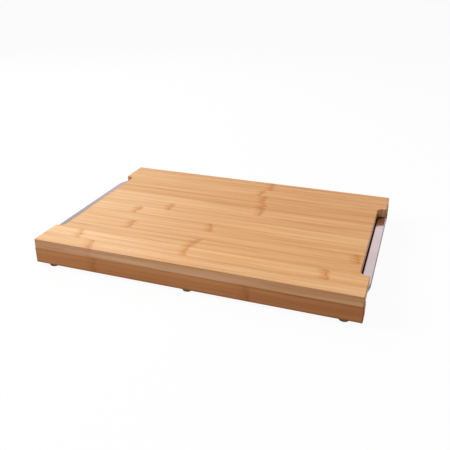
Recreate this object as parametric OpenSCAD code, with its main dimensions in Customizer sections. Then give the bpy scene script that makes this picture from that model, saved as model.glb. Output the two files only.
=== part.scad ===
// Bamboo cutting board on two rails, with a stainless steel tray sliding out of each short end.
// Millimetres, +Z up. X runs along the board, Y across it, and the feet stand on z = 0.
// The origin is the middle of the footprint, with the left tray ajar as it is usually left.

/* [Board] */
// Length of the board along X
board_l = 450; // [400:1:520]
// Width of the board along Y
board_w = 320; // [280:1:380]
// Thickness of the top board
top_t = 13; // [11:0.5:20]
// Radius of the board's corners, seen from above
corner_r = 1.2; // [1:0.1:8]
// Radius of the eased edges
edge_r = 0.8; // [0.6:0.1:2]

/* [Finger notches] */
// Depth of the notch in each short end
notch_d = 12.5; // [10:0.1:20]
// Length of the notch along Y
notch_l = 216; // [150:1:230]
// Radius of the notch's inner corners
notch_r = 9.5; // [4:0.5:10]
// Radius of the ears' corners at the notch's mouth
mouth_r = 2.5; // [1:0.5:4]

/* [Rails and divider] */
// Height of the rails and of the divider
rail_h = 22.4; // [20:0.2:30]
// Width of each rail
rail_w = 19; // [16:0.5:28]
// How far the rails' ends stand proud of the top board's
rail_proud = 0.6; // [0:0.1:1.5]
// Depth of the groove that carries a tray's lip, across the rail
groove_d = 4.5; // [3:0.5:7]
// Width of the divider between the two trays
divider_w = 20; // [14:1:40]

/* [Trays] */
// How far a closed tray stands proud of the board's end
tray_proud = 1.8; // [0:0.1:3]
// How far the left tray is pulled out as the part is drawn
left_ajar = 13.5; // [0:0.5:40]
// Inside depth of the tray, below the top of its flange
tray_depth = 17.6; // [12:0.2:17.8]
// Width of the flange round the tray
flange_w = 14.1; // [9:0.1:16]
// Radius of the flange's outer corners
flange_r = 45; // [30:1:60]
// Height of the lip turned down round the flange
lip_h = 5; // [3:0.5:8]
// Thickness of the steel sheet
sheet_t = 0.8; // [0.5:0.1:1.2]
// Draft of the tray's walls, in degrees
draft = 4; // [1:0.5:8]
// Inside radius between the tray's floor and its walls
floor_r = 7; // [4:0.5:9]

/* [Feet] */
// Height of a foot
foot_h = 5; // [3.5:0.5:8]
// Diameter of a foot where it meets the rail
foot_top_d = 14.4; // [11:0.2:16]
// Diameter of a foot where it stands
foot_d = 13.4; // [10:0.1:14.4]
// From the board's side to the middle of a foot
foot_inset = 9.8; // [8:0.2:12]
// From the board's end to the middle of a corner foot
foot_end = 22; // [12:1:60]

/* [Screws] */
// Shank diameter of the countersunk screws that hold the rails and divider
screw_d = 4; // [3:0.5:5]
// Length of those screws
screw_l = 30; // [26:1:32]
// Shank diameter of a foot's screw
foot_screw_d = 2.9; // [2.2:0.1:3.2]
// Length of a foot's screw under its head
foot_screw_l = 14; // [10:1:16]

/* [Clearances] */
// Between the top of the trays' flanges and the top board
head_gap = 1.2; // [0.6:0.1:2]
// Between a tray's lip and the ledge under it
lip_gap = 0.3; // [0.1:0.1:0.6]
// Between a tray's side and the back of its groove
side_gap = 1; // [0.5:0.1:2]
// Between a closed tray and the divider
stop_gap = 0.5; // [0.3:0.1:1]
// Round a screw in its hole
screw_gap = 0.1; // [0.05:0.05:0.3]

/* [Hidden] */
$fn = 48;

// Colours
TOP_BAMBOO = "#DDAF79";
RAIL_BAMBOO = "#A87448";
STEEL = "#C6B8BA";
RUBBER = "#3A3836";
SCREW_STEEL = "#9C9A96";

// Heights above the worktop
rail_z = foot_h;
top_z = rail_z + rail_h;
flange_z = top_z - head_gap;
ledge_z = flange_z - lip_h - lip_gap;

// Rails: the groove's back is groove_d in from the rail's inner face
rail_l = board_l + 2 * rail_proud;
rail_y = board_w / 2 - rail_w;
groove_y = rail_y + groove_d;

// Trays: outer size of the flange, and where a closed tray's middle lies
tray_w = 2 * (groove_y - side_gap);
tray_l = board_l / 2 + tray_proud - divider_w / 2 - stop_gap;
tray_x = divider_w / 2 + stop_gap + tray_l / 2;
flange_bend = 2;
lip_bend = 1.5;
bend_steps = 5;
fillet_steps = 8;

// The drawn object reaches further left by left_ajar, so the origin lies half of that off the board's middle
frame_x = left_ajar / 2;

// Feet and screws
foot_x = board_l / 2 - foot_end;
foot_y = board_w / 2 - foot_inset;
foot_edge_r = 0.6;
foot_head_d = 5.4;
foot_head_h = 1.6;
foot_head_sink = 0.6;
foot_screw_tip_d = 0.4;
head_d = 2 * screw_d;
head_h = (head_d - screw_d) / 2;
head_sink = 0.4;
tip_h = screw_d;
tip_d = 0.6;
drive_w = 0.9;
drive_h = 1.1;
drive_share = 0.58; // length of the cross recess, as a share of the head's diameter

// Screws along a rail: two on each side of its middle foot, at these shares of the way to the corner foot
rail_screw_steps = [0.26, 0.72];
rail_screw_y = (board_w / 2 + groove_y) / 2;
rail_screw_x = [for (end = [-1, 1], step = rail_screw_steps) end * foot_x * step];
divider_screw_y = rail_y / 2;
rail_screws = [for (side = [-1, 1], x = rail_screw_x) [x, side * rail_screw_y]];
divider_screws = [for (side = [-1, 1]) [0, side * divider_screw_y]];
foot_places = [for (side = [-1, 1], end = [-1, 0, 1]) [end * foot_x, side * foot_y]];
over = 1; // how far a cutter runs past the face it opens

function arc(centre, r, from, to, steps) =
    [for (i = [0:steps]) let (a = from + (to - from) * i / steps)
        [centre[0] + r * cos(a), centre[1] + r * sin(a)]];

// Moves the board's own frame, whose X starts at the board's middle, onto the part's frame
module in_frame()
    translate([frame_x, 0, 0]) children();

// Rectangle with round corners, seen from above and centred
module plan(l, w, r) {
    square([l - 2 * r, w], center = true);
    square([l, w - 2 * r], center = true);
    for (x = [-1, 1], y = [-1, 1])
        translate([x * (l / 2 - r), y * (w / 2 - r)]) circle(r);
}

// Section w wide and h high whose top corners are round, standing on its lower edge
module eased_top(w, h, r) {
    translate([-w / 2, 0]) square([w, h - r]);
    translate([-w / 2 + r, 0]) square([w - 2 * r, h]);
    for (side = [-1, 1])
        translate([side * (w / 2 - r), h - r]) circle(r);
}

// Block on z = 0 with its plan's corners and all its top edges round
module eased_slab(h) {
    intersection() {
        linear_extrude(h) plan(board_l, board_w, corner_r);
        rotate([90, 0, 90])
            linear_extrude(board_l + 2 * over, center = true) eased_top(board_w, h, edge_r);
        rotate([90, 0, 0])
            linear_extrude(board_w + 2 * over, center = true) eased_top(board_l, h, edge_r);
    }
}

// What is cut from an edge to round it: the wood lies at x > 0 and under y = 0
module edge_waste() {
    difference() {
        translate([-over, -edge_r]) square([edge_r + over, edge_r + over]);
        translate([edge_r, -edge_r]) circle(edge_r);
    }
}

// Everything cut from one end of the top board for the fingers, at the +X end
module notch_cut() {
    inner_x = board_l / 2 - notch_d;
    half = notch_l / 2;
    straight = half - notch_r;
    translate([0, 0, -over]) linear_extrude(top_t + 2 * over) {
        translate([inner_x, -straight]) square([notch_d + over, 2 * straight]);
        translate([inner_x + notch_r, -half]) square([notch_d - notch_r + over, 2 * half]);
        for (side = [-1, 1]) {
            translate([inner_x + notch_r, side * straight]) circle(notch_r);
            translate([board_l / 2 - mouth_r, side * half]) difference() {
                translate([0, side > 0 ? -over : -mouth_r]) square([mouth_r + over, mouth_r + over]);
                translate([0, side * mouth_r]) circle(mouth_r);
            }
        }
    }
    translate([0, 0, top_t]) {
        translate([inner_x, straight, 0]) rotate([90, 0, 0])
            linear_extrude(2 * straight) mirror([1, 0]) edge_waste();
        for (side = [-1, 1]) {
            translate([inner_x + notch_r, side * straight, 0])
                rotate([0, 0, side > 0 ? 90 : 180])
                    rotate_extrude(angle = 90) translate([notch_r, 0]) edge_waste();
            translate([inner_x + notch_r, side * half, 0]) mirror([0, side > 0 ? 0 : 1, 0])
                rotate([90, 0, 90]) linear_extrude(notch_d - notch_r + over) edge_waste();
        }
    }
}

// Hole for a countersunk screw whose head lies in the face z = 0, pointing up
module countersunk_hole(depth) {
    r = screw_d / 2 + screw_gap;
    head_r = head_d / 2 + screw_gap;
    translate([0, 0, -over]) cylinder(r = head_r, h = over + head_sink);
    translate([0, 0, head_sink]) cylinder(r1 = head_r, r2 = r, h = head_h);
    cylinder(r = r, h = depth);
}

// Laminated top: one slab with a finger notch in each end and blind holes for the screws from below
module top_board() {
    color(TOP_BAMBOO) in_frame() translate([0, 0, top_z]) difference() {
        eased_slab(top_t);
        notch_cut();
        mirror([1, 0, 0]) notch_cut();
        for (place = concat(rail_screws, divider_screws))
            translate([place[0], place[1], -over])
                cylinder(r = screw_d / 2 + screw_gap,
                    h = over + head_sink + screw_l - rail_h + screw_gap);
    }
}

// Rail along the board's side at +Y, with the groove for the trays along its upper inner edge
module rail_bar() {
    intersection() {
        rotate([90, 0, 90]) linear_extrude(rail_l + 2 * over, center = true) difference() {
            union() {
                translate([rail_y, edge_r]) square([rail_w, rail_h - edge_r]);
                translate([rail_y, 0]) square([rail_w - edge_r, rail_h]);
                translate([board_w / 2 - edge_r, edge_r]) circle(edge_r);
            }
            translate([rail_y - over, ledge_z - rail_z])
                square([groove_d + over, rail_h - ledge_z + rail_z + over]);
        }
        linear_extrude(rail_h) plan(rail_l, board_w, corner_r);
        translate([0, 0, rail_h]) mirror([0, 0, 1]) rotate([90, 0, 0])
            linear_extrude(board_w + 2 * over, center = true) eased_top(rail_l, rail_h, edge_r);
    }
}

// side is -1 for the front rail and 1 for the rear one
module rail(side) {
    color(RAIL_BAMBOO) in_frame() translate([0, 0, rail_z]) difference() {
        mirror([0, side > 0 ? 0 : 1, 0]) rail_bar();
        for (x = rail_screw_x)
            translate([x, side * rail_screw_y, 0]) countersunk_hole(rail_h + over);
        for (x = [-foot_x, 0, foot_x])
            translate([x, side * foot_y, -over])
                cylinder(r = foot_screw_d / 2 + screw_gap,
                    h = over + foot_screw_l - foot_h + foot_head_h + foot_head_sink + screw_gap);
    }
}

// Bar between the rails under the board's middle: it holds the board up and stops both trays
module centre_divider() {
    color(RAIL_BAMBOO) in_frame() translate([0, 0, rail_z]) difference() {
        translate([-divider_w / 2, -rail_y, 0]) cube([divider_w, 2 * rail_y, rail_h]);
        for (place = divider_screws)
            translate([place[0], place[1], 0]) countersunk_hole(rail_h + over);
    }
}

// Section of the pressed sheet, from a corner's centre at x = 0 out to the flange's edge,
// with the flange's top at y = 0: floor, fillet, drafted wall, bend, flange, bend and lip
function tray_section() =
    let (
        bend_x = flange_r - flange_w + flange_bend,
        wall = (tray_depth - (flange_bend + floor_r) * (1 - sin(draft))) / cos(draft),
        fillet_x = bend_x - (flange_bend + floor_r) * cos(draft) - wall * sin(draft),
        fillet = [fillet_x, floor_r - tray_depth],
        bend = [bend_x, -flange_bend],
        lip = [flange_r - lip_bend, -lip_bend]
    )
    concat(
        [[0, -tray_depth]],
        arc(fillet, floor_r, -90, -draft, fillet_steps),
        arc(bend, flange_bend, 180 - draft, 90, bend_steps),
        arc(lip, lip_bend, 90, 0, bend_steps),
        [[flange_r, -lip_h], [flange_r - sheet_t, -lip_h]],
        arc(lip, lip_bend - sheet_t, 0, 90, bend_steps),
        arc(bend, flange_bend - sheet_t, 90, 180 - draft, bend_steps),
        arc(fillet, floor_r + sheet_t, -draft, -90, fillet_steps),
        [[0, -tray_depth - sheet_t]]
    );

// One pressed tray, centred, with the top of its flange at z = 0
module tray_pan() {
    core_l = tray_l - 2 * flange_r;
    core_w = tray_w - 2 * flange_r;
    for (turn = [0:3]) {
        ahead = turn % 2 == 0 ? core_l : core_w;
        across = turn % 2 == 0 ? core_w : core_l;
        rotate([0, 0, 90 * turn]) {
            translate([ahead / 2, across / 2, 0])
                rotate_extrude(angle = 90) polygon(tray_section());
            translate([ahead / 2, across / 2, 0])
                rotate([90, 0, 0]) linear_extrude(across) polygon(tray_section());
        }
    }
    translate([-core_l / 2, -core_w / 2, -tray_depth - sheet_t]) cube([core_l, core_w, sheet_t]);
}

// end is -1 for the left tray and 1 for the right one, pulled is how far out it stands
module tray(end, pulled) {
    color(STEEL) in_frame()
        translate([end * (tray_x + pulled), 0, flange_z]) tray_pan();
}

// Tapered rubber foot with a sunk seat for its screw, standing on z = 0
module foot(end, side) {
    place = [end * foot_x, side * foot_y, 0];
    slope = (foot_top_d - foot_d) / 2 / foot_h;
    color(RUBBER) in_frame() translate(place) difference() {
        union() {
            translate([0, 0, foot_edge_r])
                cylinder(r1 = foot_d / 2 + slope * foot_edge_r, r2 = foot_top_d / 2, h = foot_h - foot_edge_r);
            cylinder(r1 = foot_d / 2 - foot_edge_r, r2 = foot_d / 2 + slope * foot_edge_r, h = foot_edge_r);
        }
        translate([0, 0, -over])
            cylinder(r = foot_head_d / 2 + screw_gap, h = over + foot_head_sink + foot_head_h);
        cylinder(r = foot_screw_d / 2 + screw_gap, h = foot_h + over);
    }
}

// Cross recess, cut into a head's face at z = 0
module drive(size) {
    for (turn = [0, 90])
        rotate([0, 0, turn]) translate([-size / 2, -drive_w / 2, -over])
            cube([size, drive_w, drive_h + over]);
}

module foot_screw() {
    difference() {
        union() {
            cylinder(d = foot_head_d, h = foot_head_h);
            cylinder(d = foot_screw_d, h = foot_head_h + foot_screw_l - foot_screw_d);
            translate([0, 0, foot_head_h + foot_screw_l - foot_screw_d])
                cylinder(d1 = foot_screw_d, d2 = foot_screw_tip_d, h = foot_screw_d);
        }
        drive(foot_head_d * drive_share);
    }
}

module frame_screw() {
    difference() {
        union() {
            cylinder(d1 = head_d, d2 = screw_d, h = head_h);
            cylinder(d = screw_d, h = screw_l - tip_h);
            translate([0, 0, screw_l - tip_h]) cylinder(d1 = screw_d, d2 = tip_d, h = tip_h);
        }
        drive(head_d * drive_share);
    }
}

// One screw up through each foot into its rail
module foot_screws() {
    color(SCREW_STEEL) in_frame()
        for (place = foot_places)
            translate([place[0], place[1], foot_head_sink]) foot_screw();
}

// Screws up through the rails and the divider into the top board
module frame_screws() {
    color(SCREW_STEEL) in_frame()
        for (place = concat(rail_screws, divider_screws))
            translate([place[0], place[1], rail_z + head_sink]) frame_screw();
}

top_board();
rail(-1);  // front_rail
rail(1);  // rear_rail
centre_divider();
tray(-1, left_ajar);  // left_tray
tray(1, 0);  // right_tray
foot(-1, -1);  // front_left_foot
foot(0, -1);  // front_middle_foot
foot(1, -1);  // front_right_foot
foot(-1, 1);  // rear_left_foot
foot(0, 1);  // rear_middle_foot
foot(1, 1);  // rear_right_foot
foot_screws();
frame_screws();
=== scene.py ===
from math import cos, pi, radians, sin

import bpy
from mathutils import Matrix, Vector


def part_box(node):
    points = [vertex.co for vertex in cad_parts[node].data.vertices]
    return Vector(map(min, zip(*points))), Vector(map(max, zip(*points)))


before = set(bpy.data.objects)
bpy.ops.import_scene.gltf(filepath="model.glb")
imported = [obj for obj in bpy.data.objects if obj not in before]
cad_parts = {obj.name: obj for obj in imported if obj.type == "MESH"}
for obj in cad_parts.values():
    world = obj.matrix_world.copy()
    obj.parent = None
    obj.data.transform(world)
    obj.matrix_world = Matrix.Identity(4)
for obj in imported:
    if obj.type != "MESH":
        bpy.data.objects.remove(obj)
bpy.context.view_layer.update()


def colour(red, green, blue):
    return (red, green, blue, 1.0)


def grey(tone):
    return colour(tone, tone, tone)


# Camera, fitted to the corners of the board in the photograph. Its azimuth is counted from the front
# to the right, and what it aims at from the middle of the board's footprint.
IMAGE_PX = 450
FOCAL_PX = 565.1
SENSOR_MM = 36
CAMERA_AIM = Vector((-0.00422, 0.00773, 0.02272))
CAMERA_AZIMUTH = 19.55
CAMERA_ELEVATION = 25.0
CAMERA_DISTANCE = 0.865
CAMERA_REACH = 100

# Floor: its size, how far it lies under the feet, its tone for the light and for the camera, and the
# share of white glow that the camera and glossy surfaces see on it
FLOOR_SIZE = 16
FLOOR_DROP = 0.0002
FLOOR_TONE = 0.5
FLOOR_TONE_SEEN = 0.9
FLOOR_GLOW = 0.94
FLOOR_GLOW_IN_GLOSS = 0.45

# Sky: the light that it gives, and how bright its upper part and its left part are in glossy surfaces.
# It turns into the upper part between two elevations in degrees, and into the left part between two
# values of its direction's X, the full one first.
SKY_LIGHT = 0.34
CEILING_IN_GLOSS = 0.8
CEILING_TURN = (20, 34)
LEFT_IN_GLOSS = 0.58
LEFT_TURN = (-0.62, -0.3)

# Lamps, all of one size and distance: name, azimuth, elevation and radiance. Azimuth 0 is +Y and 90 is
# +X, as seen from the board.
LAMP_SIZE = 0.9
LAMP_DISTANCE = 2
LAMPS = [("window", -112, 36, 12), ("back_softbox", -45, 40, 4), ("right_fill", 90, 45, 2.5)]

# The board's own frame, in millimetres: its left end, its front, half its length, the joint between
# top and rails, and the underside of the rails
LOW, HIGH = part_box("top_board")
BOARD_MIDDLE = Vector(((LOW.x + HIGH.x) / 2, (LOW.y + HIGH.y) / 2, 0))
BOARD_LEFT = LOW.x * 1000
BOARD_FRONT = LOW.y * 1000
BOARD_HALF_L = (HIGH.x - LOW.x) * 500
JOINT_Z = LOW.z * 1000
RAIL_FOOT_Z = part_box("front_rail")[0].z * 1000

# Strips of the laminated top, from the front: a first narrow one, then one every STRIP_W. Each row
# gives up to three bamboo nodes across that strip, in millimetres from the board's left end, and how
# pale the strip is, from 0 to 1. NODE_NONE lies past the other end and shows no node.
STRIP_W = 25.9
FIRST_STRIP_W = 25
NODE_NONE = 900
TOP_STRIPS = [
    (82, NODE_NONE, NODE_NONE, 0.78),
    (50, 210, 398, 1.0),
    (213, NODE_NONE, NODE_NONE, 0.44),
    (102, 429, NODE_NONE, 0.36),
    (217, NODE_NONE, NODE_NONE, 0.42),
    (86, NODE_NONE, NODE_NONE, 0.67),
    (131, NODE_NONE, NODE_NONE, 0.45),
    (270, NODE_NONE, NODE_NONE, 0.54),
    (265, NODE_NONE, NODE_NONE, 0.04),
    (259, NODE_NONE, NODE_NONE, 0.04),
    (249, NODE_NONE, NODE_NONE, 0.33),
    (258, NODE_NONE, NODE_NONE, 0.26),
    (256, NODE_NONE, NODE_NONE, 0.02),
]
# Each rail is one strip: the front one has the first row and the rear one the last, and there is no
# rail at the rows between. The divider's strips have no nodes.
RAIL_STRIP_W = 32.2
RAIL_STRIPS = [(93, 308, NODE_NONE, 0.5)] + [(150, 366, NODE_NONE, 0.5)] * 9
DIVIDER_STRIPS = [(NODE_NONE, NODE_NONE, NODE_NONE, 0.5)]

# Noise in the bamboo, in the steel's sheen and in the rubber: the size of its blots in millimetres, in
# the bamboo along the grain, across it and upwards
SWAY_BLOTS = (160, 22, 22)
BROAD_BLOTS = (260, 8, 8)
STREAK_BLOTS = (120, 2.2, 2.2)
FIBRE_BLOTS = (26, 0.42, 0.42)
WAVER_BLOTS = (12, 8, 8)
PATCH_BLOTS = (5, 4, 4)
GLUE_BLOTS = (120, 9, 9)
PORE_BLOTS = (20, 0.8, 0.8)
CLOUD_BLOTS = (24, 24, 24)
RUBBER_BLOTS = (0.5, 0.5, 0.5)
# How far the fibres sway across the grain and the nodes waver along it, in millimetres, and how far
# the noise of one strip may lie from that of the next, in blots
SWAY = 3.0
WAVER = 17.0
STRIP_SHIFT = 60

# Finger notches: half their length, and the tints of their walls: painted shadow at the bottom, painted
# bounce light at the top, and a painted shadow gap along the joint
NOTCH_HALF_L = 108
NOTCH_SHADOW = colour(0.3, 0.26, 0.22)
NOTCH_BOUNCE_LIGHT = colour(1.34, 1.34, 1.42)
NOTCH_GAP_SHADOW = colour(0.12, 0.08, 0.06)
# Where these tints go from nothing to full, in millimetres in from the board's end, past the notch's
# own ends and above the joint
NOTCH_IN = (1, 11)
NOTCH_PAST = (8, 2)
NOTCH_SHADOW_ABOVE = (9, 2)
NOTCH_GAP_SHADOW_ABOVE = (1.6, 0.5)

# Tints of all the bamboo: of the strips that chance makes redder, and of end grain
BLUSH_TINT = colour(0.98, 0.95, 0.91)
END_TINT = colour(0.66, 0.58, 0.5)

# Looks of the bamboo. The places in the fades are millimetres from the board's left end.
TOP_LOOK = {
    # The strips, the first glue joint between them, and how many of them lie in front of it
    "strips": TOP_STRIPS, "strip_w": STRIP_W, "first_joint": BOARD_FRONT + FIRST_STRIP_W, "before": 1,
    # Seed of what chance gives each strip, and how many millimetres its nodes lean at most
    "seed": 3.0, "lean": 14.0,
    # Shades of the wood and its streaks, the share of the streaks, and the tint of the fibres
    "pale": colour(0.81, 0.445, 0.18), "mid": colour(0.72, 0.36, 0.125),
    "dark": colour(0.52, 0.21, 0.055), "streak": 0.5, "fibre_tint": colour(0.84, 0.76, 0.64),
    # Tints of the darkest and the palest strip, and a painted sheen: the board's left and right
    "dark_strip": colour(0.885, 0.845, 0.8), "pale_strip": colour(1.06, 1.18, 1.44),
    "left_sheen_tint": colour(1.02, 1.08, 1.17), "right_sheen_tint": colour(0.99, 0.96, 0.945),
    # The nodes' tint, its shares in nodes and in glue joints, and what is left of a node on side faces
    "node_tint": colour(0.74, 0.45, 0.06), "mark": 0.9, "joint": 0.5, "side_mark": 0.25,
    # Painted sheen on side faces below and above the heights where it turns, and painted edge shade
    "side_turn": (JOINT_Z + 3, JOINT_Z + 11),
    "side_sheen_low": colour(1.04, 1.15, 1.62), "side_sheen_high": colour(0.95, 1.0, 1.35),
    "rim_shade_tint": colour(0.66, 0.59, 0.53),
    # Further tints: painted shade on side faces, and tints of single strips by number, from the place
    # where there is none of it to the place where it is full
    "side_shade_fades": [(150, 0, colour(0.83, 0.72, 0.62)), (230, 300, colour(0.97, 0.92, 0.84))],
    "strip_fades": [(0, 230, 300, colour(1.03, 1.1, 1.2)), (3, 200, 110, colour(1.03, 1.05, 1.07)),
                    (5, 200, 110, colour(1.03, 1.06, 1.09)), (7, 200, 110, colour(1.02, 1.04, 1.06))],
    # Whether it has finger notches, and where it is darker: round a height, how far, and how much
    "notched": True, "dark_bands": [(JOINT_Z, 1.2, 0.25)],
}
RAIL_LOOK = {
    "strips": RAIL_STRIPS, "strip_w": RAIL_STRIP_W, "first_joint": BOARD_FRONT - 1, "before": 0,
    "seed": 11.0, "lean": 4.0,
    "pale": colour(0.60, 0.25, 0.085), "mid": colour(0.52, 0.195, 0.06),
    "dark": colour(0.38, 0.125, 0.035), "streak": 0.45, "fibre_tint": colour(0.84, 0.76, 0.66),
    "dark_strip": grey(1), "pale_strip": grey(1), "left_sheen_tint": grey(1), "right_sheen_tint": grey(1),
    "node_tint": colour(0.68, 0.5, 0.3), "mark": 0.6, "joint": 0.0, "side_mark": 1,
    "side_turn": (JOINT_Z - 10, JOINT_Z),
    "side_sheen_low": colour(1.02, 1.09, 1.2), "side_sheen_high": colour(1.02, 1.09, 1.2),
    "rim_shade_tint": colour(0.42, 0.37, 0.28),
    "side_shade_fades": [(250, 400, colour(0.93, 0.87, 0.86))], "strip_fades": [],
    # The band at the rails' foot is a painted shadow where they meet the worktop
    "notched": False, "dark_bands": [(JOINT_Z, 2.5, 0.4), (RAIL_FOOT_Z, 4.5, 0.9)],
}
DIVIDER_LOOK = {**RAIL_LOOK, "strips": DIVIDER_STRIPS, "side_shade_fades": [], "seed": 27.0}


class Graph:
    """Writes a node tree. Inputs are other nodes' sockets or plain values."""

    def __init__(self, owner):
        owner.use_nodes = True
        self.tree = owner.node_tree
        self.tree.nodes.clear()

    def add(self, kind, inputs, **settings):
        node = self.tree.nodes.new(kind)
        for name, value in settings.items():
            setattr(node, name, value)
        for name, value in inputs.items():
            if isinstance(value, bpy.types.NodeSocket):
                self.tree.links.new(value, node.inputs[name])
            else:
                node.inputs[name].default_value = value
        return node

    def math(self, operation, *values):
        return self.add("ShaderNodeMath", dict(enumerate(values)), operation=operation).outputs[0]

    def vector(self, operation, *values):
        return self.add("ShaderNodeVectorMath", dict(enumerate(values)), operation=operation).outputs[0]

    def scaled(self, vector, factor):
        node = self.add("ShaderNodeVectorMath", {"Vector": vector, "Scale": factor}, operation="SCALE")
        return node.outputs[0]

    def rise(self, value, low, high, bottom=0.0, top=1.0):
        """Goes smoothly from bottom to top as value goes from low to high."""
        inputs = {"Value": value, "From Min": low, "From Max": high, "To Min": bottom, "To Max": top}
        return self.add("ShaderNodeMapRange", inputs, interpolation_type="SMOOTHSTEP").outputs[0]

    def spread(self, value, width):
        """Turns a value from 0 to 1 into one from minus half the width to plus half of it."""
        return self.math("MULTIPLY", self.math("SUBTRACT", value, 0.5), width)

    def mix(self, share, first, second, blend_type="MIX"):
        inputs = {0: share, 6: first, 7: second}
        return self.add("ShaderNodeMix", inputs, data_type="RGBA", blend_type=blend_type).outputs[2]

    def tint(self, share, shade, by):
        """A shade multiplied by another one, as far as share says."""
        return self.mix(share, shade, by, blend_type="MULTIPLY")

    def noise(self, place, blots, detail, roughness, shift=(0, 0, 0)):
        """Noise whose blots have about that size in millimetres along each axis."""
        scaled = self.vector("DIVIDE", place, blots)
        inputs = {"Vector": self.vector("ADD", scaled, shift), "Scale": 1.0, "Detail": detail,
                  "Roughness": roughness}
        return self.add("ShaderNodeTexNoise", inputs).outputs["Fac"]

    def split(self, vector):
        return self.add("ShaderNodeSeparateXYZ", {"Vector": vector}).outputs

    def join(self, x, y, z):
        return self.add("ShaderNodeCombineXYZ", {"X": x, "Y": y, "Z": z}).outputs[0]

    def place_mm(self):
        """Where the point lies in the model's frame, in millimetres."""
        return self.scaled(self.add("ShaderNodeTexCoord", {}).outputs["Object"], 1000)

    def facing(self):
        """How far the surface faces along X, Y and Z, each from 0 to 1."""
        normal = self.add("ShaderNodeTexCoord", {}).outputs["Normal"]
        return self.split(self.vector("ABSOLUTE", normal))

    def ray_kinds(self):
        """1 for a ray from the camera, and 1 for one off gloss or through glass."""
        path = self.add("ShaderNodeLightPath", {}).outputs
        gloss = self.math("MAXIMUM", path["Is Glossy Ray"], path["Is Transmission Ray"])
        return path["Is Camera Ray"], gloss

    def surface(self, height, strength, depth, inputs):
        """Ends a material with its Principled shader, over a bump that is depth metres deep."""
        bump = self.add("ShaderNodeBump", {"Height": height, "Strength": strength, "Distance": depth})
        shader = self.add("ShaderNodeBsdfPrincipled", {**inputs, "Normal": bump.outputs[0]})
        self.add("ShaderNodeOutputMaterial", {"Surface": shader.outputs[0]})


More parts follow.
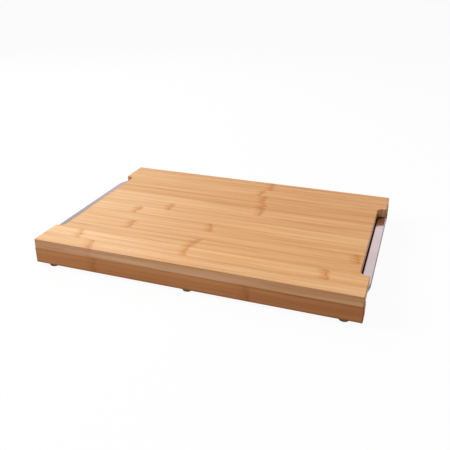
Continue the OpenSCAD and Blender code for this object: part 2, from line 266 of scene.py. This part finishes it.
class Bamboo(Graph):
    """Laminated bamboo with its grain along X, or along Y where turned. Each step changes its shade."""

    def __init__(self, name, look, turned=False):
        self.material = bpy.data.materials.new(name)
        super().__init__(self.material)
        self.look = look
        self.place = self.place_mm()
        if turned:
            x, y, z = self.split(self.place)
            self.place = self.join(y, x, z)
        along, self.across, self.up = self.split(self.place)
        self.from_left = self.math("SUBTRACT", along, BOARD_LEFT)
        self.along_n, self.across_n, self.up_n = self.facing()
        if turned:
            self.along_n, self.across_n = self.across_n, self.along_n
        self.find_strip()
        self.draw_fibres()
        self.tone_strips()
        self.draw_nodes()
        self.draw_glue_joints()
        self.tone_side_faces()
        self.draw_end_grain()
        if look["notched"]:
            self.paint_notch_light()
        self.darken_bands()
        self.shade_edges()
        self.coat()

    def find_strip(self):
        """Which strip the point is in, how far into it, and what chance gives that strip."""
        look = self.look
        count = self.math("SUBTRACT", self.across, look["first_joint"])
        count = self.math("DIVIDE", count, look["strip_w"])
        self.number = self.math("FLOOR", count)
        self.into = self.math("FRACT", count)
        share = self.math("ADD", self.number, 0.5 + look["before"])
        share = self.math("DIVIDE", share, len(look["strips"]))
        self.node_places, self.paleness = self.strip_row(share)
        seeded = {"W": self.math("ADD", self.number, look["seed"])}
        chance = self.add("ShaderNodeTexWhiteNoise", seeded, noise_dimensions="1D").outputs["Color"]
        self.shift = self.scaled(chance, STRIP_SHIFT)
        self.lean, self.blush, self.edge_tone = self.split(chance)

    def strip_row(self, share):
        """A strip's node places and paleness, as share goes from the first row of strips to the last."""
        ramp = self.add("ShaderNodeValToRGB", {"Fac": share})
        rows = self.look["strips"]
        stops = ramp.color_ramp
        stops.interpolation = "CONSTANT"
        while len(stops.elements) < len(rows):
            stops.elements.new(1.0)
        for index, row in enumerate(rows):
            stops.elements[index].position = index / len(rows)
            stops.elements[index].color = row
        return self.split(ramp.outputs["Color"]), ramp.outputs["Alpha"]

    def draw_fibres(self):
        """Pale and darker wood, dark streaks and fine fibres, which all sway a little."""
        look = self.look
        sway = self.spread(self.noise(self.place, SWAY_BLOTS, 1.0, 0.5, self.shift), SWAY)
        swayed = self.vector("ADD", self.place, self.join(0.0, sway, sway))
        broad = self.noise(swayed, BROAD_BLOTS, 2.0, 0.5, self.shift)
        self.streak = self.noise(swayed, STREAK_BLOTS, 3.0, 0.65, self.shift)
        self.fibre = self.noise(swayed, FIBRE_BLOTS, 2.0, 0.6, self.shift)
        self.shade = self.mix(self.rise(broad, 0.35, 0.68), look["pale"], look["mid"])
        dark_streak = self.math("MULTIPLY", self.rise(self.streak, 0.48, 0.72), look["streak"])
        self.shade = self.mix(dark_streak, self.shade, look["dark"])
        self.shade = self.tint(self.rise(self.fibre, 0.45, 0.75, 0, 0.35), self.shade, look["fibre_tint"])

    def tone_strips(self):
        """Each strip has its own tone; a painted sheen makes the left end paler than the right."""
        look = self.look
        strip_tint = self.mix(self.paleness, look["dark_strip"], look["pale_strip"])
        self.shade = self.tint(1.0, self.shade, strip_tint)
        self.shade = self.tint(self.blush, self.shade, BLUSH_TINT)
        # Painted sheen: paler at the left end, a little darker towards the right
        painted_sheen = self.mix(self.rise(self.from_left, 0, 290), look["left_sheen_tint"], look["right_sheen_tint"])
        self.shade = self.tint(1.0, self.shade, painted_sheen)
        for strip, nothing_at, full_at, fade_tint in look["strip_fades"]:
            here = self.math("COMPARE", self.number, strip - look["before"], 0.5)
            fade = self.math("MULTIPLY", here, self.rise(self.from_left, nothing_at, full_at))
            self.shade = self.tint(fade, self.shade, fade_tint)

    def draw_nodes(self):
        """Bamboo nodes across the strips, which waver and lean by chance."""
        look = self.look
        waver = self.noise(self.place, WAVER_BLOTS, 3.0, 0.6, self.shift)
        bent = self.spread(self.into, self.spread(self.lean, look["lean"]))
        bent = self.math("ADD", bent, self.spread(waver, WAVER))
        bent_along = self.math("ADD", self.from_left, bent)
        patchy = self.noise(self.place, PATCH_BLOTS, 2.0, 0.6, self.shift)
        line_share = self.rise(patchy, 0.35, 0.62, 0.3, 1)
        mark = 0.0
        for node_place in self.node_places:
            offset = self.math("SUBTRACT", bent_along, node_place)
            mark = self.math("MAXIMUM", mark, self.node_mark(offset, line_share))
        self.mark = self.math("MULTIPLY", mark, self.rise(self.across_n, 0.5, 0.9, 1, look["side_mark"]))
        share = self.math("MULTIPLY", self.mark, look["mark"])
        self.shade = self.tint(share, self.shade, look["node_tint"])

    def node_mark(self, offset, line_share):
        """How dark a node is at an offset along the grain: a soft band with a narrow dark line in it."""
        band = self.rise(self.math("ABSOLUTE", offset), 1, 7, 0.6, 0)
        shoulder = self.math("MULTIPLY", self.rise(offset, -14, -3, 0, 0.35), self.rise(offset, 0, 3, 1, 0))
        line = self.rise(self.math("ABSOLUTE", self.math("ADD", offset, -0.6)), 0.6, 2.2, 1, 0)
        line = self.math("MULTIPLY", line, line_share)
        return self.math("MAXIMUM", self.math("MAXIMUM", band, shoulder), line)

    def draw_glue_joints(self):
        """A fine line where two strips meet, between two darker shoulders."""
        look = self.look
        away = self.math("MINIMUM", self.into, self.math("SUBTRACT", 1.0, self.into))
        away = self.math("MULTIPLY", away, look["strip_w"])
        faded = self.rise(self.noise(self.place, GLUE_BLOTS, 1.0, 0.5), 0.35, 0.6, 0.4, 1)
        self.joint = self.math("MULTIPLY", self.rise(away, 0.1, 0.9, 1, 0), faded)
        shoulder = self.math("MULTIPLY", self.rise(away, 0.5, 5, 0.6, 0), self.edge_tone)
        share = self.math("MULTIPLY", self.math("MAXIMUM", self.joint, shoulder), look["joint"])
        self.shade = self.tint(share, self.shade, look["node_tint"])

    def tone_side_faces(self):
        """Painted sheen on side faces, which changes on the way up, and painted shade along the piece."""
        look = self.look
        side = self.rise(self.across_n, 0.6, 0.9)
        turn = self.rise(self.up, *look["side_turn"])
        self.shade = self.tint(side, self.shade, self.mix(turn, look["side_sheen_low"], look["side_sheen_high"]))
        for nothing_at, full_at, fade_tint in look["side_shade_fades"]:
            fade = self.math("MULTIPLY", side, self.rise(self.from_left, nothing_at, full_at))
            self.shade = self.tint(fade, self.shade, fade_tint)

    def draw_end_grain(self):
        """End grain is darker, and dotted with pores."""
        end = self.rise(self.along_n, 0.6, 0.95)
        pores = self.noise(self.place, PORE_BLOTS, 1.0, 0.5, self.shift)
        end = self.math("MULTIPLY", end, self.rise(pores, 0.35, 0.65, 0.55, 1))
        self.shade = self.tint(end, self.shade, END_TINT)

    def paint_notch_light(self):
        """Notch walls: painted bounce light above, painted shadow by the tray, nearly black at the joint.
        """
        from_middle = self.math("ABSOLUTE", self.math("SUBTRACT", self.from_left, BOARD_HALF_L))
        from_end = self.math("SUBTRACT", BOARD_HALF_L, from_middle)
        past = self.math("SUBTRACT", self.math("ABSOLUTE", self.across), NOTCH_HALF_L)
        inside = self.math("MULTIPLY", self.rise(from_end, *NOTCH_IN), self.rise(past, *NOTCH_PAST))
        wall = self.math("MULTIPLY", inside, self.rise(self.up_n, 0.8, 0.3))
        above = self.math("SUBTRACT", self.up, JOINT_Z)
        low = self.math("MULTIPLY", self.along_n, self.rise(above, *NOTCH_SHADOW_ABOVE))
        self.shade = self.tint(wall, self.shade, self.mix(low, NOTCH_BOUNCE_LIGHT, NOTCH_SHADOW))
        gap_shadow = self.math("MULTIPLY", wall, self.rise(above, *NOTCH_GAP_SHADOW_ABOVE))
        self.shade = self.tint(gap_shadow, self.shade, NOTCH_GAP_SHADOW)

    def darken_bands(self):
        """Darker round some heights: the top-rail joint, and a painted shadow along the rails' foot."""
        for height, reach, strength in self.look["dark_bands"]:
            away = self.math("ABSOLUTE", self.math("SUBTRACT", self.up, height))
            share = self.rise(away, 0, reach, strength, 0)
            self.shade = self.tint(share, self.shade, self.look["node_tint"])

    def shade_edges(self):
        """Painted shade on the eased edges, and on the side faces' last millimetres at the left end."""
        flattest = self.math("MAXIMUM", self.math("MAXIMUM", self.along_n, self.across_n), self.up_n)
        rim = self.rise(flattest, 0.94, 0.995, 1, 0)
        wrap = self.math("MULTIPLY", self.rise(self.from_left, 0.6, 2.5, 0.7, 0), self.across_n)
        self.shade = self.tint(self.math("MAXIMUM", rim, wrap), self.shade, self.look["rim_shade_tint"])

    def coat(self):
        """Oiled satin finish: fibres stand up a little, and glue joints and nodes lie lower."""
        height = self.math("MULTIPLY", self.math("ADD", self.fibre, self.streak), 0.6)
        height = self.math("SUBTRACT", height, self.math("MULTIPLY", self.joint, 0.6))
        height = self.math("SUBTRACT", height, self.math("MULTIPLY", self.mark, 0.4))
        roughness = self.rise(self.streak, 0.3, 0.8, 0.38, 0.46)
        inputs = {"Base Color": self.shade, "Roughness": roughness, "Specular IOR Level": 0.2}
        self.surface(height, strength=0.3, depth=0.0001, inputs=inputs)


def steel(name, tone, roughness, brushed, wall_shade_tint):
    """Finely brushed steel, brushed millimetres long along each axis; painted shade on walls and bends."""
    material = bpy.data.materials.new(name)
    graph = Graph(material)
    place = graph.place_mm()
    lines = graph.noise(place, brushed, 3.0, 0.6)
    cloud = graph.rise(graph.noise(place, CLOUD_BLOTS, 2.0, 0.5), 0.3, 0.7)
    up_n = graph.facing()[2]
    slope = graph.rise(up_n, 0.99, 0.85)
    bend = graph.math("MULTIPLY", graph.math("MULTIPLY", up_n, graph.math("SUBTRACT", 1.0, up_n)), 4.0)
    shade = graph.tint(cloud, tone, grey(0.94))
    # Painted shade darkens the walls and the bends
    shade = graph.tint(slope, shade, wall_shade_tint)
    shade = graph.tint(graph.rise(bend, 0.1, 0.7), shade, grey(0.45))
    rough = graph.rise(lines, 0.3, 0.7, *roughness)
    rough = graph.math("ADD", rough, graph.math("MULTIPLY", cloud, 0.05))
    rough = graph.math("ADD", rough, graph.math("MULTIPLY", slope, 0.14))
    inputs = {"Base Color": shade, "Metallic": 1.0, "Roughness": rough}
    graph.surface(lines, strength=0.12, depth=0.00003, inputs=inputs)
    return material


def rubber(name):
    """Dark matt rubber, paler where it meets the worktop, and with painted light towards the right."""
    material = bpy.data.materials.new(name)
    graph = Graph(material)
    place = graph.place_mm()
    grain = graph.noise(place, RUBBER_BLOTS, 2.0, 0.6)
    x, _, up = graph.split(place)
    pale_and_painted_light = graph.math("MULTIPLY", graph.rise(up, 0, 1.6, 0.5, 0), graph.rise(grain, 0.3, 0.7))
    # Painted light: paler towards the right end of the board
    pale_and_painted_light = graph.math("MAXIMUM", pale_and_painted_light, graph.rise(x, BOARD_LEFT, BOARD_LEFT + 2 * BOARD_HALF_L, 0, 0.8))
    shade = graph.mix(pale_and_painted_light, colour(0.12, 0.098, 0.083), colour(0.27, 0.232, 0.2))
    roughness = graph.rise(grain, 0.2, 0.8, 0.5, 0.7)
    inputs = {"Base Color": shade, "Roughness": roughness, "Specular IOR Level": 0.4}
    graph.surface(grain, strength=0.4, depth=0.0001, inputs=inputs)
    return material


def dress_nodes():
    """Gives every CAD node its material, by the last word of the node's name."""
    materials = {
        "board": Bamboo("bamboo_top_grain", TOP_LOOK).material,
        "rail": Bamboo("bamboo_rail_grain", RAIL_LOOK).material,
        "divider": Bamboo("bamboo_divider_grain", DIVIDER_LOOK, turned=True).material,
        "tray": steel("satin_tray_steel", colour(0.73, 0.585, 0.6), (0.08, 0.14), brushed=(0.5, 70, 0.5),
                      wall_shade_tint=colour(0.5, 0.5, 0.51)),
        "screws": steel("plain_screw_steel", colour(0.42, 0.41, 0.39), (0.3, 0.42), brushed=(0.4, 0.4, 4),
                        wall_shade_tint=grey(0.8)),
        "foot": rubber("foot_rubber_grain"),
    }
    for name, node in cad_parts.items():
        node.data.materials.clear()
        node.data.materials.append(materials[name.split("_")[-1]])


def build_world():
    """Pale light for the object, and a background that is white for the camera but uneven for gloss."""
    world = bpy.data.worlds.new("studio")
    bpy.context.scene.world = world
    graph = Graph(world)
    camera, gloss = graph.ray_kinds()
    right, _, height = graph.split(graph.add("ShaderNodeTexCoord", {}).outputs["Generated"])
    ceiling_turn = [sin(radians(elevation)) for elevation in CEILING_TURN]
    in_gloss = graph.rise(height, *ceiling_turn, 1, CEILING_IN_GLOSS)
    in_gloss = graph.math("MULTIPLY", in_gloss, graph.rise(right, *LEFT_TURN, LEFT_IN_GLOSS, 1))
    strength = graph.add("ShaderNodeMix", {0: gloss, 2: SKY_LIGHT, 3: in_gloss}).outputs[0]
    strength = graph.math("MAXIMUM", strength, camera)
    sky = graph.add("ShaderNodeBackground", {"Color": grey(1), "Strength": strength})
    graph.add("ShaderNodeOutputWorld", {"Surface": sky.outputs[0]})


def floor_material():
    """White floor that glows for the camera, so that only the object's shadow shows on it."""
    material = bpy.data.materials.new("white_floor")
    graph = Graph(material)
    camera, gloss = graph.ray_kinds()
    tone = graph.mix(camera, grey(FLOOR_TONE), grey(FLOOR_TONE_SEEN))
    plain = graph.add("ShaderNodeBsdfDiffuse", {"Color": tone}).outputs[0]
    glow = graph.add("ShaderNodeEmission", {"Color": grey(1), "Strength": 1.0}).outputs[0]
    share = graph.math("MULTIPLY", camera, FLOOR_GLOW)
    share = graph.math("MAXIMUM", share, graph.math("MULTIPLY", gloss, FLOOR_GLOW_IN_GLOSS))
    both = graph.add("ShaderNodeMixShader", {0: share, 1: plain, 2: glow}).outputs[0]
    graph.add("ShaderNodeOutputMaterial", {"Surface": both})
    return material


def build_floor():
    mesh = bpy.data.meshes.new("floor")
    half = FLOOR_SIZE / 2
    corners = [(-half, -half), (half, -half), (half, half), (-half, half)]
    mesh.from_pydata([(x, y, -FLOOR_DROP) for x, y in corners], [], [(0, 1, 2, 3)])
    mesh.materials.append(floor_material())
    floor = bpy.data.objects.new("floor", mesh)
    bpy.context.scene.collection.objects.link(floor)


def glare_free():
    """The trays, which the lamps leave to the pale background, because their polish would turn white."""
    spared = bpy.data.collections.new("glare_free")
    for name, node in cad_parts.items():
        if name.endswith("tray"):
            spared.objects.link(node)
    for entry in spared.collection_objects:
        entry.light_linking.link_state = "EXCLUDE"
    return spared


def build_lights():
    """Square soft lights that face the board."""
    spared = glare_free()
    for name, azimuth, elevation, radiance in LAMPS:
        azimuth, elevation = radians(azimuth), radians(elevation)
        toward = Vector((sin(azimuth) * cos(elevation), cos(azimuth) * cos(elevation), sin(elevation)))
        lamp = bpy.data.lights.new(name, "AREA")
        lamp.shape = "SQUARE"
        lamp.size = LAMP_SIZE
        lamp.energy = radiance * pi * LAMP_SIZE ** 2
        light = bpy.data.objects.new(name, lamp)
        light.location = BOARD_MIDDLE + LAMP_DISTANCE * toward
        light.rotation_euler = toward.to_track_quat("Z", "Y").to_euler()
        light.light_linking.receiver_collection = spared
        bpy.context.scene.collection.objects.link(light)


def build_camera():
    azimuth, elevation = radians(CAMERA_AZIMUTH), radians(CAMERA_ELEVATION)
    back = Vector((sin(azimuth) * cos(elevation), -cos(azimuth) * cos(elevation), sin(elevation)))
    data = bpy.data.cameras.new("photo_camera")
    data.sensor_width = SENSOR_MM
    data.lens = FOCAL_PX / IMAGE_PX * SENSOR_MM
    data.clip_end = CAMERA_REACH
    camera = bpy.data.objects.new("photo_camera", data)
    camera.location = BOARD_MIDDLE + CAMERA_AIM + CAMERA_DISTANCE * back
    camera.rotation_euler = back.to_track_quat("Z", "Y").to_euler()
    bpy.context.scene.collection.objects.link(camera)
    bpy.context.scene.camera = camera


build_camera()
build_world()
build_floor()
build_lights()
dress_nodes()
bpy.context.scene.view_settings.view_transform = "Standard"
